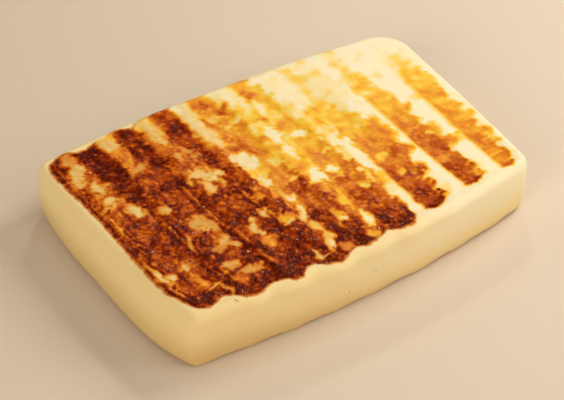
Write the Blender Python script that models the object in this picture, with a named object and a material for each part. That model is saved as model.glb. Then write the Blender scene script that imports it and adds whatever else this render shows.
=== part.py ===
"""Grilled coalho cheese: one soft-edged slab, pressed and browned between two ribbed grill plates.

The slab lies flat, its length along X and the grill ribs' prints along Y. Its origin is the middle of
its underside. The ribs leave sunk bands on both broad faces, the cheese between them swells into low
ridges, the walls belly out a little, and the crust wrinkles and sags over the front edge.
"""

import collections
import math

import bmesh
import bpy
import numpy as np
from mathutils import Vector, noise

MM = 0.001
NAME = "grilled_coalho_cheese"

# Driving sizes of the slab, before its sides bow out.
HALF_LENGTH = 51.0 * MM
HALF_WIDTH = 33.0 * MM
THICKNESS = 15.8 * MM

# Each side's distance from the middle at its two ends and centre: reach + skew * t + bow * (1 - t * t).
Side = collections.namedtuple("Side", "reach skew bow")
LEFT = Side(50.6 * MM, 1.5 * MM, 1.5 * MM)
RIGHT = Side(53.9 * MM, 2.5 * MM, 0.5 * MM)
FRONT = Side(31.9 * MM, -0.5 * MM, 4.1 * MM)
BACK = Side(34.4 * MM, -1.7 * MM, 3.1 * MM)

# Upright corners, seen from above, then the softness of the top and bottom edges.
CORNER_FRONT_LEFT = 1.6 * MM
CORNER_FRONT_RIGHT = 3.5 * MM
CORNER_BACK_LEFT = 3.0 * MM
CORNER_BACK_RIGHT = 8.5 * MM
TOP_EDGE = 2.1 * MM
BOTTOM_EDGE = 1.3 * MM

# The walls swell at mid height, and the left one spreads at its foot, most of all near the front.
WALL_BELLY = 0.6 * MM
LEFT_FOOT_SPREAD = 2.1 * MM
LEFT_FOOT_LEAN = 0.6
WALL_LUMP = 0.35 * MM
WALL_LUMP_SIZE = 13.0 * MM

# Prints of the grill ribs: flat-bottomed bands, one every pitch, counted from the left end.
RIB_COUNT = 9
RIB_PITCH = 12.3 * MM
FIRST_RIB = -52.6 * MM
RIB_DRIFT = 1.35 * MM
RIB_HALF_WIDTH = 3.7 * MM
RIB_SHOULDER = 1.9 * MM
RIB_WANDER = 0.5 * MM
RIB_WANDER_SIZE = 11.0 * MM
TOP_PRINT_DEPTH = 0.6 * MM
PRINT_MARGIN = 3.6 * MM
UNDER_PRINT_DEPTH = 0.5 * MM
PALE_END_FADE = 1.0

# Creases in the crust of the left half, where a rib's edge dragged the skin.
CREASE_EVERY = 11.6 * MM
FIRST_CREASE = -50.0 * MM
CREASE_COUNT = 4
CREASE_HALF_WIDTH = 0.9 * MM
CREASE_HEIGHT = 0.45 * MM
CREASE_FROM_BACK = 8.0 * MM

# The crust sags over the front edge in lobes, much less at the pale right end, and is blistered where dark.
LOBE_PITCH = 11.4 * MM
LOBE_START = -45.2 * MM
LOBE_REACH = 0.35 * MM
LOBE_UNEVENNESS_SIZE = 9.0 * MM
LOBE_FADE_START = 6.0 * MM
LOBE_FADE_END = 20.0 * MM
LOBE_RIGHT_SHARE = 0.25
BLISTER_HEIGHT = 0.4 * MM
BLISTER_SIZE = 4.6 * MM
TOP_SAG = 0.35 * MM
TOP_SAG_SIZE = 24.0 * MM

# Fineness of the shaped grid, and the share of its triangles that the finished slab keeps.
GRID_STEP = 0.85 * MM
KEPT_TRIANGLES = 0.21

# Lower points than this are laid exactly on the floor, so that the slab rests without rocking.
FLAT_FOOT = 0.08 * MM

# Finish of the plain slab, as linear colour.
CHEESE_COLOUR = (0.80, 0.60, 0.29, 1.0)
CHEESE_ROUGHNESS = 0.42


def smooth_step(value, low, high):
    """0 below low, 1 above high, and a smooth rise between them."""
    t = np.clip((value - low) / (high - low), 0.0, 1.0)
    return t * t * (3.0 - 2.0 * t)


def lumps(points, size, layer):
    """Smooth noise from -1 to 1 at each point, with lumps of the given size. A layer gives its own pattern."""
    shift = Vector((17.3 * layer, -9.1 * layer, 4.7 * layer))
    return np.array([noise.noise(Vector(p) / size + shift) for p in points])


def side_reach(side, t):
    """How far a side stands from the middle, at t from -1 to 1 along it."""
    return side.reach + side.skew * t + side.bow * (1.0 - t * t)


def gridded_block():
    """A block of the slab's size whose faces are cut into an even grid."""
    block = bmesh.new()
    bmesh.ops.create_cube(block, size=2.0)
    bmesh.ops.scale(block, vec=(HALF_LENGTH, HALF_WIDTH, THICKNESS / 2), verts=block.verts)
    bmesh.ops.translate(block, vec=(0.0, 0.0, THICKNESS / 2), verts=block.verts)
    for axis, length in enumerate((2 * HALF_LENGTH, 2 * HALF_WIDTH, THICKNESS)):
        along = [e for e in block.edges if abs((e.verts[0].co - e.verts[1].co)[axis]) > length / 2]
        bmesh.ops.subdivide_edges(block, edges=along, cuts=round(length / GRID_STEP) - 1, use_grid_fill=True)
    return block


def round_edges(points):
    """Rounds the block's top and bottom edges: a point near an edge moves on to its arc."""
    x, y, z = points.T.copy()
    inset = np.minimum(HALF_LENGTH - abs(x), HALF_WIDTH - abs(y))
    for radius, height in ((TOP_EDGE, z), (BOTTOM_EDGE, THICKNESS - z)):
        inward = radius - inset
        upward = height - (THICKNESS - radius)
        near = (inward > 0) & (upward > 0)
        squeeze = np.where(near, radius / np.maximum(np.hypot(inward, upward), radius), 1.0)
        new_inset = np.where(near, radius - inward * squeeze, inset)
        x *= (HALF_LENGTH - new_inset) / (HALF_LENGTH - inset)
        y *= (HALF_WIDTH - new_inset) / (HALF_WIDTH - inset)
        rise = np.where(near, upward * squeeze - upward, 0.0)
        z += rise if height is z else -rise
        inset = new_inset
    return np.column_stack((x, y, z))


def round_corners(points):
    """Rounds the upright corners, ring by ring, so that the grid on the broad faces follows them."""
    x, y, z = points.T.copy()
    radius = np.where(
        x < 0,
        np.where(y < 0, CORNER_FRONT_LEFT, CORNER_BACK_LEFT),
        np.where(y < 0, CORNER_FRONT_RIGHT, CORNER_BACK_RIGHT),
    )
    across = np.maximum(abs(x) - (HALF_LENGTH - radius), 0.0)
    along = np.maximum(abs(y) - (HALF_WIDTH - radius), 0.0)
    squeeze = np.maximum(across, along) / np.maximum(np.hypot(across, along), 1e-9)
    inside = (across > 0) & (along > 0)
    x = np.where(inside, np.sign(x) * (HALF_LENGTH - radius + across * squeeze), x)
    y = np.where(inside, np.sign(y) * (HALF_WIDTH - radius + along * squeeze), y)
    return np.column_stack((x, y, z))


def bow_sides(points):
    """Moves the straight outline on to the bowed, slightly tapering one that the real slab has."""
    x, y, z = points.T
    u, v = x / HALF_LENGTH, y / HALF_WIDTH
    left, right = -side_reach(LEFT, v), side_reach(RIGHT, v)
    front, back = -side_reach(FRONT, u), side_reach(BACK, u)
    return np.column_stack((left + (right - left) * (u + 1) / 2, front + (back - front) * (v + 1) / 2, z))


def swell_walls(points, block):
    """Bellies the walls, spreads the left foot, sags lobes of crust over the front and adds lumps."""
    x, y, z = points.T.copy()
    u, v = block[:, 0] / HALF_LENGTH, block[:, 1] / HALF_WIDTH
    outward_x = np.sign(u) * abs(u) ** 8
    outward_y = np.sign(v) * abs(v) ** 8
    height = z / THICKNESS
    swelling = WALL_BELLY * np.sin(math.pi * np.clip(height, 0, 1))
    swelling += WALL_LUMP * lumps(points * (1, 1, 0.7), WALL_LUMP_SIZE, 1) * smooth_step(1 - height, 0.0, 0.4)
    x += outward_x * swelling
    y += outward_y * swelling
    foot = (1 - v**4) * (1 - LEFT_FOOT_LEAN * v)
    x -= LEFT_FOOT_SPREAD * (1 - height) * np.where(u < 0, abs(outward_x), 0) * foot
    lobe = LOBE_REACH * np.cos(2 * math.pi * (x - LOBE_START) / LOBE_PITCH)
    lobe *= 1 + lumps(points * (1, 0, 0), LOBE_UNEVENNESS_SIZE, 5)
    lobe *= 1 - (1 - LOBE_RIGHT_SHARE) * smooth_step(x, LOBE_FADE_START, LOBE_FADE_END)
    y -= lobe * np.where(v < 0, abs(outward_y), 0) * smooth_step(height, 0.55, 0.85) * (1 - u**4)
    return np.column_stack((x, y, z))


def rib_centre(number):
    """Middle line of one rib's print. The middle of the softened slab drifted a little to the left."""
    drift = RIB_DRIFT * math.sin(math.pi * (number - 1) / (RIB_COUNT - 3)) if 1 <= number <= RIB_COUNT - 2 else 0.0
    return FIRST_RIB + RIB_PITCH * number - drift


def rib_prints(points, wander):
    """1 on the floor of a rib's print, 0 on the ridges between them, with soft shoulders."""
    x = points[:, 0] + wander
    sunk = np.zeros(len(points))
    for number in range(RIB_COUNT):
        off_centre = abs(x - rib_centre(number))
        print_here = 1 - smooth_step(off_centre, RIB_HALF_WIDTH - RIB_SHOULDER, RIB_HALF_WIDTH + RIB_SHOULDER)
        sunk = np.maximum(sunk, print_here)
    return sunk


def creases(points):
    """Narrow raised folds along the left half's prints, fading towards the back."""
    x, y, _ = points.T
    fold = np.zeros(len(points))
    for number in range(CREASE_COUNT):
        line = FIRST_CREASE + CREASE_EVERY * number
        fold = np.maximum(fold, 1 - smooth_step(abs(x - line), 0.0, CREASE_HALF_WIDTH))
    return fold * smooth_step(-y, -CREASE_FROM_BACK, CREASE_FROM_BACK)


def relieve_faces(points, inset):
    """Sinks the rib prints in both broad faces and blisters the top crust. The underside's lands stay flat.

    The top's prints fade towards the back of the right end, which the plate hardly touched.
    """
    x, y, z = points.T.copy()
    height = z / THICKNESS
    flat = points * (1, 1, 0)
    on_top = smooth_step(height, 0.55, 0.95)
    below = 1 - smooth_step(height, 0.0, 0.35)
    wander = RIB_WANDER * lumps(flat, RIB_WANDER_SIZE, 2)
    inland = smooth_step(inset, 0.4 * PRINT_MARGIN, PRINT_MARGIN)
    prints = rib_prints(points, wander)
    burnt = np.clip(0.55 - 0.5 * (x + 1.4 * y) / HALF_LENGTH, 0.0, 1.0)
    pale_end = smooth_step((x + 0.9 * y) / HALF_LENGTH, 0.35, 1.15)
    relief = -TOP_PRINT_DEPTH * prints * inland * (1.0 - 0.45 * burnt) * (1.0 - PALE_END_FADE * pale_end)
    relief += CREASE_HEIGHT * creases(points) * inland
    relief += BLISTER_HEIGHT * lumps(flat, BLISTER_SIZE, 3) * (0.25 + burnt * 0.75) * inland
    relief += TOP_SAG * lumps(flat, TOP_SAG_SIZE, 4)
    z += on_top * relief
    z += below * UNDER_PRINT_DEPTH * prints
    return np.column_stack((x, y, z))


def centred(points):
    """Puts the middle of the slab's underside at the origin."""
    low, high = points.min(axis=0), points.max(axis=0)
    return points - ((low[0] + high[0]) / 2, (low[1] + high[1]) / 2, low[2])


def shape_slab(block):
    """Moves the gridded block's points on to the slab's true form."""
    start = np.array([v.co for v in block.verts])
    rounded = round_edges(start)
    inset = np.minimum(HALF_LENGTH - abs(rounded[:, 0]), HALF_WIDTH - abs(rounded[:, 1]))
    cornered = round_corners(rounded)
    walled = swell_walls(bow_sides(cornered), cornered)
    finished = centred(relieve_faces(walled, inset))
    for vertex, place in zip(block.verts, finished):
        vertex.co = place


def cheese_material():
    """Pale, faintly glossy cheese."""
    material = bpy.data.materials.new("cheese")
    material.use_nodes = True
    surface = material.node_tree.nodes["Principled BSDF"]
    surface.inputs["Base Color"].default_value = CHEESE_COLOUR
    surface.inputs["Roughness"].default_value = CHEESE_ROUGHNESS
    surface.inputs["Metallic"].default_value = 0.0
    return material


def thin_out(cheese):
    """Drops triangles where the slab is flat, then lays the underside's lands exactly on the floor."""
    thinning = cheese.modifiers.new("thin out flat parts", "DECIMATE")
    thinning.ratio = KEPT_TRIANGLES
    thinning.use_collapse_triangulate = True
    thinned = bpy.data.meshes.new_from_object(cheese.evaluated_get(bpy.context.evaluated_depsgraph_get()))
    cheese.modifiers.clear()
    cheese.data = thinned
    for vertex in thinned.vertices:
        if vertex.co.z < FLAT_FOOT:
            vertex.co.z = 0.0


def build_cheese(collection):
    """The slab: one solid, with triangles spent where its relief is."""
    block = gridded_block()
    shape_slab(block)
    mesh = bpy.data.meshes.new("cheese")
    block.to_mesh(mesh)
    block.free()
    mesh.shade_smooth()
    mesh.materials.append(cheese_material())
    cheese = bpy.data.objects.new("cheese", mesh)
    collection.objects.link(cheese)
    thin_out(cheese)
    return cheese


def main():
    """Clears the scene and builds the slab in its own collection."""
    for old in list(bpy.data.objects):
        bpy.data.objects.remove(old, do_unlink=True)
    collection = bpy.data.collections.new(NAME)
    bpy.context.scene.collection.children.link(collection)
    build_cheese(collection)


main()
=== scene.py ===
"""Looks of a grilled slab of coalho cheese, on a pale floor in soft light.

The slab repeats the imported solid's form on a much finer mesh. It adds what the plain solid leaves out:
ragged brown rib prints, pale windows, blisters, folds and scorched lobes of crust. Lengths in the classes
are in millimetres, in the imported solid's frame, unless a class says otherwise.
"""

from __future__ import annotations

import logging
import math
from dataclasses import dataclass, field
from enum import Enum

import bmesh
import bpy
import numpy as np
from mathutils import Matrix, Vector, noise


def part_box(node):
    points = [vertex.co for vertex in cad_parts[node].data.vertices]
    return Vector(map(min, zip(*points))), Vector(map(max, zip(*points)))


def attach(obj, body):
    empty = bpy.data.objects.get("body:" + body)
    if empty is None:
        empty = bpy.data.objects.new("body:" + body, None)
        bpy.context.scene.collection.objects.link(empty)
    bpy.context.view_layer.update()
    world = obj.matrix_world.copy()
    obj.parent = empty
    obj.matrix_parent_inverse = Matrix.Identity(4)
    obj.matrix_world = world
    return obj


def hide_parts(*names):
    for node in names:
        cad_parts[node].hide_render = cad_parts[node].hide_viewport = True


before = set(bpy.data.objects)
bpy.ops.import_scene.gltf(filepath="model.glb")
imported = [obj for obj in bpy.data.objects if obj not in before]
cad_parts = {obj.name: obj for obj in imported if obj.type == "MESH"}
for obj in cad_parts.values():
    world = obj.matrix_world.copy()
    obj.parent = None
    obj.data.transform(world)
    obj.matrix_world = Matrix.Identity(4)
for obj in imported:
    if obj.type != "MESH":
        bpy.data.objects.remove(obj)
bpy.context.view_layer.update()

MM = 0.001
NODE = "cheese"
BODY = "root"
LOG = logging.getLogger("grilled cheese")

# How much creamier bare cheese grows towards the top, and again towards the right end. The deeper tone low
# down is partly browning from the plate and partly painted shade; the creamier right end is painted light.
CREAM_AND_PAINTED_LIGHT_TONE = 0.035

# Screen colours, 0 to 255, each at its own browning.
Tones = tuple[tuple[float, tuple[int, int, int]], ...]


class Attribute(Enum):
    """The values that the slab's mesh carries at each point for its finish."""

    # On bare cheese this holds a tone that is partly painted light and painted shade.
    BROWNING = "browning"
    GLAZE = "glaze"
    MILK = "milk"


def smooth_step(value: np.ndarray, low: float | np.ndarray, high: float | np.ndarray) -> np.ndarray:
    """Rises smoothly from 0 at low to 1 at high.

    Args:
        value: The numbers to map.
        low: Where the rise starts.
        high: Where it ends.

    Returns:
        The mapped numbers, each from 0 to 1.
    """
    t = np.clip((value - low) / (high - low), 0.0, 1.0)
    return t * t * (3.0 - 2.0 * t)


def lumps(points: np.ndarray, size: float, layer: int) -> np.ndarray:
    """Smooth noise at each point.

    Args:
        points: Places in millimetres, one row each.
        size: Size of one lump.
        layer: Number of the pattern; each gives its own.

    Returns:
        Values from about -1 to 1.
    """
    shift = Vector((17.3 * layer, -9.1 * layer, 4.7 * layer))
    return np.array([noise.noise(Vector(p) / size + shift) for p in points])


def veins(points: np.ndarray, size: float, layer: int) -> np.ndarray:
    """Thin branching lines.

    Args:
        points: Places in millimetres, one row each.
        size: Typical gap between two lines.
        layer: Number of the pattern; each gives its own.

    Returns:
        1 along a line, falling to 0 between the lines.
    """
    return np.clip(1.0 - abs(lumps(points, size, layer)) / 0.16, 0.0, 1.0)


def blisters(points: np.ndarray, size: float, layer: int) -> np.ndarray:
    """Cellular pattern of rounded blisters with narrow valleys between them.

    Args:
        points: Places in millimetres, one row each.
        size: Typical width of one blister.
        layer: Number of the pattern; each gives its own.

    Returns:
        0 in the valleys, rising to 1 on the blisters' tops.
    """
    shift = Vector((5.1 * layer, 23.7 * layer, -3.3 * layer))
    domes = []
    for point in points:
        near, second = noise.voronoi(Vector(point) / size + shift)[0][:2]
        domes.append(second - near)
    return smooth_step(np.array(domes), 0.02, 0.55)


def linear(colour: tuple[int, int, int]) -> tuple[float, float, float, float]:
    """Turns a screen colour into linear light.

    Args:
        colour: Red, green and blue, from 0 to 255.

    Returns:
        The linear colour, from 0 to 1, with full alpha.
    """
    parts = [c / 255 for c in colour]
    light = [p / 12.92 if p <= 0.04045 else ((p + 0.055) / 1.055) ** 2.4 for p in parts]
    return (*light, 1.0)


def bare_tone_with_painted_light(x: np.ndarray, height: np.ndarray) -> np.ndarray:
    """Tone of cheese that touched no rib, with painted light: creamier towards the top and the right end.

    Args:
        x: Places along the slab, in millimetres.
        height: Their heights, as a share of the slab's thickness.

    Returns:
        The tone at each place.
    """
    # The rise with height is partly browning from the plate and partly painted shade; the rise towards the
    # right end is painted light.
    painted_light_towards_right = smooth_step(height, -0.3, 0.6) * smooth_step(x, -45, 25)
    return CREAM_AND_PAINTED_LIGHT_TONE * (smooth_step(height, -0.1, 0.9) + painted_light_towards_right)


@dataclass(frozen=True)
class Side:
    """One side's distance from the middle: reach + skew * t + bow * (1 - t * t), for t from -1 to 1."""

    reach: float
    skew: float
    bow: float

    def at(self, t: np.ndarray) -> np.ndarray:
        """Distance from the middle at each t along the side."""
        return self.reach + self.skew * t + self.bow * (1.0 - t * t)


@dataclass(frozen=True)
class SlabForm:
    """The slab's true form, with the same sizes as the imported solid."""

    half_length: float = 51.0
    half_width: float = 33.0
    thickness: float = 15.8
    left: Side = Side(50.6, 1.5, 1.5)
    right: Side = Side(53.9, 2.5, 0.5)
    front: Side = Side(31.9, -0.5, 4.1)
    back: Side = Side(34.4, -1.7, 3.1)
    corner_front_left: float = 1.6
    corner_front_right: float = 3.5
    corner_back_left: float = 3.0
    corner_back_right: float = 8.5
    top_edge: float = 2.1
    bottom_edge: float = 1.3
    wall_belly: float = 0.6
    left_foot_spread: float = 2.1
    left_foot_lean: float = 0.6
    wall_lump: float = 0.35
    wall_lump_size: float = 13.0
    lobe_pitch: float = 11.4
    lobe_start: float = -45.2
    lobe_reach: float = 0.35
    lobe_unevenness_size: float = 9.0
    lobe_fade: tuple[float, float] = (6.0, 20.0)
    lobe_right_share: float = 0.25
    rib_count: int = 9
    rib_pitch: float = 12.3
    first_rib: float = -52.6
    rib_drift: float = 1.35
    rib_half_width: float = 3.7
    rib_shoulder: float = 1.9
    rib_wander: float = 0.5
    rib_wander_size: float = 11.0
    top_print_depth: float = 0.6
    print_margin: float = 3.6
    under_print_depth: float = 0.5
    burnt_fade: float = 0.45
    pale_end_fade: float = 1.0
    top_zone: tuple[float, float] = (0.55, 0.95)
    under_zone: tuple[float, float] = (0.0, 0.35)
    top_sag: float = 0.35
    top_sag_size: float = 24.0

    def rounded(self, points: np.ndarray) -> np.ndarray:
        """Rounds the block's top and bottom edges.

        Args:
            points: The block's points.

        Returns:
            The points, with those near an edge on its arc.
        """
        x, y, z = points.T.copy()
        inset = np.minimum(self.half_length - abs(x), self.half_width - abs(y))
        for radius, way in ((self.top_edge, 1), (self.bottom_edge, -1)):
            height = z if way > 0 else self.thickness - z
            inward = radius - inset
            upward = height - (self.thickness - radius)
            near = (inward > 0) & (upward > 0)
            squeeze = np.where(near, radius / np.maximum(np.hypot(inward, upward), radius), 1.0)
            new_inset = np.where(near, radius - inward * squeeze, inset)
            x *= (self.half_length - new_inset) / (self.half_length - inset)
            y *= (self.half_width - new_inset) / (self.half_width - inset)
            z = z + way * np.where(near, upward * squeeze - upward, 0.0)
            inset = new_inset
        return np.column_stack((x, y, z))

    def inset_of(self, rounded: np.ndarray) -> np.ndarray:
        """How far each rounded point lies in from the nearest side."""
        return np.minimum(self.half_length - abs(rounded[:, 0]), self.half_width - abs(rounded[:, 1]))

    def cornered(self, points: np.ndarray) -> np.ndarray:
        """Rounds the upright corners, ring by ring.

        Args:
            points: The points with rounded edges.

        Returns:
            The points, with those in a corner on its arc.
        """
        x, y, z = points.T.copy()
        radius = np.where(
            x < 0,
            np.where(y < 0, self.corner_front_left, self.corner_back_left),
            np.where(y < 0, self.corner_front_right, self.corner_back_right),
        )
        across = np.maximum(abs(x) - (self.half_length - radius), 0.0)
        along = np.maximum(abs(y) - (self.half_width - radius), 0.0)
        squeeze = np.maximum(across, along) / np.maximum(np.hypot(across, along), 1e-6)
        inside = (across > 0) & (along > 0)
        x = np.where(inside, np.sign(x) * (self.half_length - radius + across * squeeze), x)
        y = np.where(inside, np.sign(y) * (self.half_width - radius + along * squeeze), y)
        return np.column_stack((x, y, z))

    def bowed(self, points: np.ndarray) -> np.ndarray:
        """Moves the straight outline on to the bowed, slightly tapering one.

        Args:
            points: The points with rounded corners.

        Returns:
            The points within the bowed outline.
        """
        x, y, z = points.T
        u, v = x / self.half_length, y / self.half_width
        left, right = -self.left.at(v), self.right.at(v)
        front, back = -self.front.at(u), self.back.at(u)
        across = left + (right - left) * (u + 1) / 2
        along = front + (back - front) * (v + 1) / 2
        return np.column_stack((across, along, z))

    def walled(self, points: np.ndarray, block: np.ndarray) -> np.ndarray:
        """Bellies the walls, spreads the left foot, sags the front lobes and adds slow lumps.

        Args:
            points: The bowed points.
            block: The same points before the bow, which say how near a wall each one is.

        Returns:
            The points of the finished outline.
        """
        x, y, z = points.T.copy()
        u, v = block[:, 0] / self.half_length, block[:, 1] / self.half_width
        outward_x = np.sign(u) * abs(u) ** 8
        outward_y = np.sign(v) * abs(v) ** 8
        height = z / self.thickness
        slow = lumps(points * (1, 1, 0.7), self.wall_lump_size, 1)
        swelling = self.wall_belly * np.sin(math.pi * np.clip(height, 0, 1))
        swelling += self.wall_lump * slow * smooth_step(1 - height, 0.0, 0.4)
        x += outward_x * swelling
        y += outward_y * swelling
        foot = (1 - v**4) * (1 - self.left_foot_lean * v)
        x -= self.left_foot_spread * (1 - height) * np.where(u < 0, abs(outward_x), 0) * foot
        lobe = self.lobe_reach * np.cos(2 * math.pi * (x - self.lobe_start) / self.lobe_pitch)
        lobe *= 1 + lumps(points * (1, 0, 0), self.lobe_unevenness_size, 5)
        lobe *= 1 - (1 - self.lobe_right_share) * smooth_step(x, *self.lobe_fade)
        y -= lobe * np.where(v < 0, abs(outward_y), 0) * smooth_step(height, 0.55, 0.85) * (1 - u**4)
        return np.column_stack((x, y, z))

    def rib_centre(self, number: int) -> float:
        """Middle line of one rib's print, before the slab is centred.

        Args:
            number: The rib, counted from 0 at the left end.

        Returns:
            Its place along the slab, in millimetres.
        """
        last = self.rib_count - 2
        drifted = 1 <= number <= last
        drift = self.rib_drift * math.sin(math.pi * (number - 1) / (last - 1)) if drifted else 0.0
        return self.first_rib + self.rib_pitch * number - drift

    def rib_prints(self, points: np.ndarray, wander: np.ndarray) -> np.ndarray:
        """Where the ribs pressed in.

        Args:
            points: Points of the slab.
            wander: How far the prints stray sideways at each point.

        Returns:
            1 on the floor of a print, 0 on the ridges, with soft shoulders.
        """
        x = points[:, 0] + wander
        low, high = self.rib_half_width - self.rib_shoulder, self.rib_half_width + self.rib_shoulder
        sunk = np.zeros(len(points))
        for number in range(self.rib_count):
            sunk = np.maximum(sunk, 1 - smooth_step(abs(x - self.rib_centre(number)), low, high))
        return sunk

    def relieved(self, points: np.ndarray, inset: np.ndarray) -> np.ndarray:
        """Sinks the rib prints in both broad faces and lets the top sag a little.

        Args:
            points: Points of the finished outline.
            inset: How far each lies in from the nearest side.

        Returns:
            The points with both faces' relief.
        """
        x, y, z = points.T.copy()
        height = z / self.thickness
        flat = points * (1, 1, 0)
        on_top = smooth_step(height, *self.top_zone)
        below = 1 - smooth_step(height, *self.under_zone)
        prints = self.rib_prints(points, self.rib_wander * lumps(flat, self.rib_wander_size, 2))
        inland = smooth_step(inset, 0.4 * self.print_margin, self.print_margin)
        burnt = np.clip(0.55 - 0.5 * (x + 1.4 * y) / self.half_length, 0.0, 1.0)
        pale_end = smooth_step((x + 0.9 * y) / self.half_length, 0.35, 1.15)
        fade = (1.0 - self.burnt_fade * burnt) * (1.0 - self.pale_end_fade * pale_end)
        relief = -self.top_print_depth * prints * inland * fade
        relief += self.top_sag * lumps(flat, self.top_sag_size, 4)
        z += on_top * relief + below * self.under_print_depth * prints
        return np.column_stack((x, y, z))

    def shaped(self, block: np.ndarray) -> tuple[np.ndarray, np.ndarray]:
        """Takes the gridded block through every step of the form.

        Args:
            block: Points of the gridded block.

        Returns:
            The shaped points, and how far each lies in from the nearest side.
        """
        rounded = self.rounded(block)
        inset = self.inset_of(rounded)
        cornered = self.cornered(rounded)
        return self.relieved(self.walled(self.bowed(cornered), cornered), inset), inset


@dataclass(frozen=True)
class Print:
    """The brown print of one rib, or the toasted ridge between two: its edges and tone at the stations.

    The ragged values say how far noise frays each edge, soft is half the width of its blur, and halo is
    the tone of the golden rim outside it.
    """

    left: tuple[float, ...]
    right: tuple[float, ...]
    tone: tuple[float, ...]
    left_ragged: float = 0.35
    right_ragged: float = 0.8
    soft: float = 0.45
    halo: float = 0.0


@dataclass(frozen=True)
class Patch:
    """An oval patch of crust whose browning nears its own level, such as a pale window or a scorch.

    Its middle is at x and y, across and along are its half widths, and turn is its angle in degrees.
    """

    x: float
    y: float
    across: float
    along: float
    level: float
    turn: float = 0.0


@dataclass(frozen=True)
class Fold:
    """A thin dragged fold in the crust: a dark line with a lighter one beside it.

    Each point of its path gives y, then x, from the back of the slab to the front.
    """

    path: tuple[tuple[float, float], ...]
    width: float = 0.28
    dark: float = 0.22
    light: float = 0.30
    height: float = 0.2


@dataclass(frozen=True)
class Shades:
    """How much each kind of noise darkens well toasted crust."""

    cloud: float = 0.08
    mottle: float = 0.10
    hollow: float = 0.07
    fine: float = 0.03
    crisp_fine: float = 0.04
    speck: float = 0.03
    web: float = 0.09
    lines: float = 0.12
    streak: float = 0.07
    crisp: float = 0.03
    flecks: float = -0.15


@dataclass
class CrustPlaces:
    """Places on the crust, with the seeded noise that roughens the drawn pattern at each.

    The crust is crisp at the near left, and its marks soften towards the far right.
    """

    points: np.ndarray
    shades: Shades = Shades()
    gain: float = 1.6
    cloud_size: float = 4.6
    rag_size: float = 2.6
    mottle_size: float = 2.1
    streak_size: float = 1.5
    fine_size: float = 0.9
    speck_size: float = 0.62
    fine_rag: float = 0.3
    warp_reach: float = 0.8
    warp_size: float = 2.4
    warp_share: float = 0.4
    blister_size: float = 1.7
    crack_size: float = 1.5
    vein_size: float = 2.6
    softening: tuple[float, float] = (-30.0, 26.0)

    def __post_init__(self) -> None:
        """Works out every layer of noise once."""
        self.x, self.y = self.points[:, 0], self.points[:, 1]
        self.flat = self.points * (1, 1, 0)
        self.cloud = self.layer(self.cloud_size, 13)
        self.rag = self.layer(self.rag_size, 11)
        self.mottle = self.layer(self.mottle_size, 20, 0.8)
        self.streak = self.layer(self.streak_size, 26, 0.2)
        self.fine = self.layer(self.fine_size, 12)
        self.speck = self.layer(self.speck_size, 14)
        self.fray = self.rag + self.fine_rag * self.fine
        self.warp_x = self.warp_reach * self.layer(self.warp_size, 15) + 0.2 * self.fine
        self.warp_y = self.warp_reach * self.layer(self.warp_size, 16) + 0.2 * self.rag
        self.warped = self.flat + self.warp_share * np.column_stack((self.warp_x, self.warp_y, 0 * self.x))
        self.crisp = 1 - 0.8 * smooth_step(self.x + 0.8 * self.y, *self.softening)
        self.blur = 1.2 - 0.5 * self.crisp
        self.cell = blisters(self.warped, self.blister_size, 17)
        self.texture = self.shaded()

    def layer(self, size: float, number: int, along: float = 1.0) -> np.ndarray:
        """One layer of noise, its lumps drawn out along the ribs where along is below 1."""
        return self.gain * lumps(self.flat * (1, along, 1), size, number)

    def shaded(self) -> np.ndarray:
        """How much the blisters, cracks and specks darken well toasted crust.

        Returns:
            The change in browning at each place.
        """
        shades = self.shades
        web = 1 - smooth_step(self.cell, 0.0, 0.45)
        cracks = veins(self.warped * (1, 0.75, 1), self.crack_size, 18)
        lines = np.maximum(cracks, 0.8 * veins(self.warped, self.vein_size, 19))
        texture = shades.mottle * self.mottle + (shades.fine + shades.crisp_fine * self.crisp) * self.fine
        texture += shades.hollow * (0.5 - self.cell)
        sharp = shades.speck * self.speck + shades.web * (web - 0.25)
        sharp += shades.lines * (lines - 0.3) + shades.streak * self.streak
        return texture + self.crisp * sharp


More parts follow.
